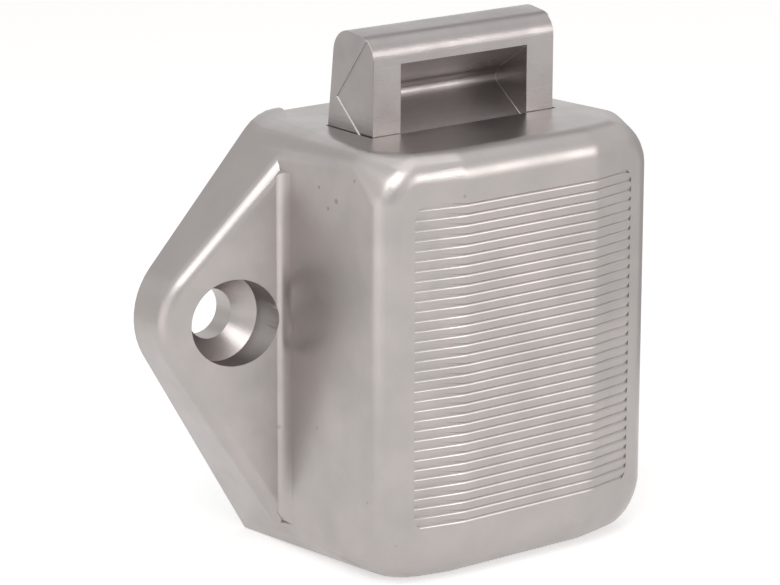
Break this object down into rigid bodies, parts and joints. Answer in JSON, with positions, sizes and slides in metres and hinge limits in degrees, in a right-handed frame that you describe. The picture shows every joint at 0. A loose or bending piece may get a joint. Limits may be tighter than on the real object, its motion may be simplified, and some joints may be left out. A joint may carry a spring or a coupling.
{
  "type": "push-button cabinet door lock",
  "caption": "Satin-plated push-button rim lock for a cabinet door, with a ribbed case, two screw ears and a pocketed bolt.",
  "frame": {"origin": "midway between the two fixing holes, on the mounting face", "axes": "+X across the two fixing holes, +Y out of the back towards the door, +Z towards the bolt"},
  "size_m": [0.0534, 0.024, 0.0485],
  "materials": {
    "case_plating": "satin nickel on die-cast zinc",
    "bolt_plating": "semi-bright nickel on die-cast zinc",
    "zinc_plate": "zinc-plated sheet steel",
    "screw_steel": "zinc-plated",
    "white_acetal": "moulded",
    "plunger_brass": "turned",
    "pin_steel": "ground",
    "spring_steel": "bright drawn",
    "black_rubber": "matte"
  },
  "bodies": {
    "lock_case": {"case": "case_plating", "back_plate": "zinc_plate", "plate_screws": "screw_steel", "guide_bush": "white_acetal", "stop_ring": "black_rubber", "spring_seat": "white_acetal", "plunger_spring": "spring_steel", "guide_left": "white_acetal", "guide_right": "white_acetal", "latch_leaf": "spring_steel", "leaf_screw": "screw_steel", "stop_pad": "black_rubber"},
    "plunger_set": {"plunger": "plunger_brass", "drive_pin": "pin_steel"},
    "bolt_slide_body": {"bolt": "bolt_plating"},
    "wire": {"latch_wire": "spring_steel"}
  },
  "joints": [
    {"name": "plunger_slide", "type": "slide", "parent": "lock_case", "child": "plunger_set", "axis": [0, 1, 0], "range_m": [0, 0.0085]},
    {"name": "bolt_slide", "type": "slide", "parent": "lock_case", "child": "bolt_slide_body", "axis": [0, 0, -1], "range_m": [0, 0.0085]},
    {"name": "latch_swing", "type": "hinge", "parent": "lock_case", "child": "wire", "pos_m": [0, -0.01385, -0.008], "axis": [-1, 0, 0], "range_deg": [0, 7.1]}
  ],
  "couplings": [
    {"joint": "bolt_slide", "follows": "plunger_slide", "ratio": 1},
    {"joint": "latch_swing", "follows": "plunger_slide", "rad_per_m": 14.5}
  ]
}
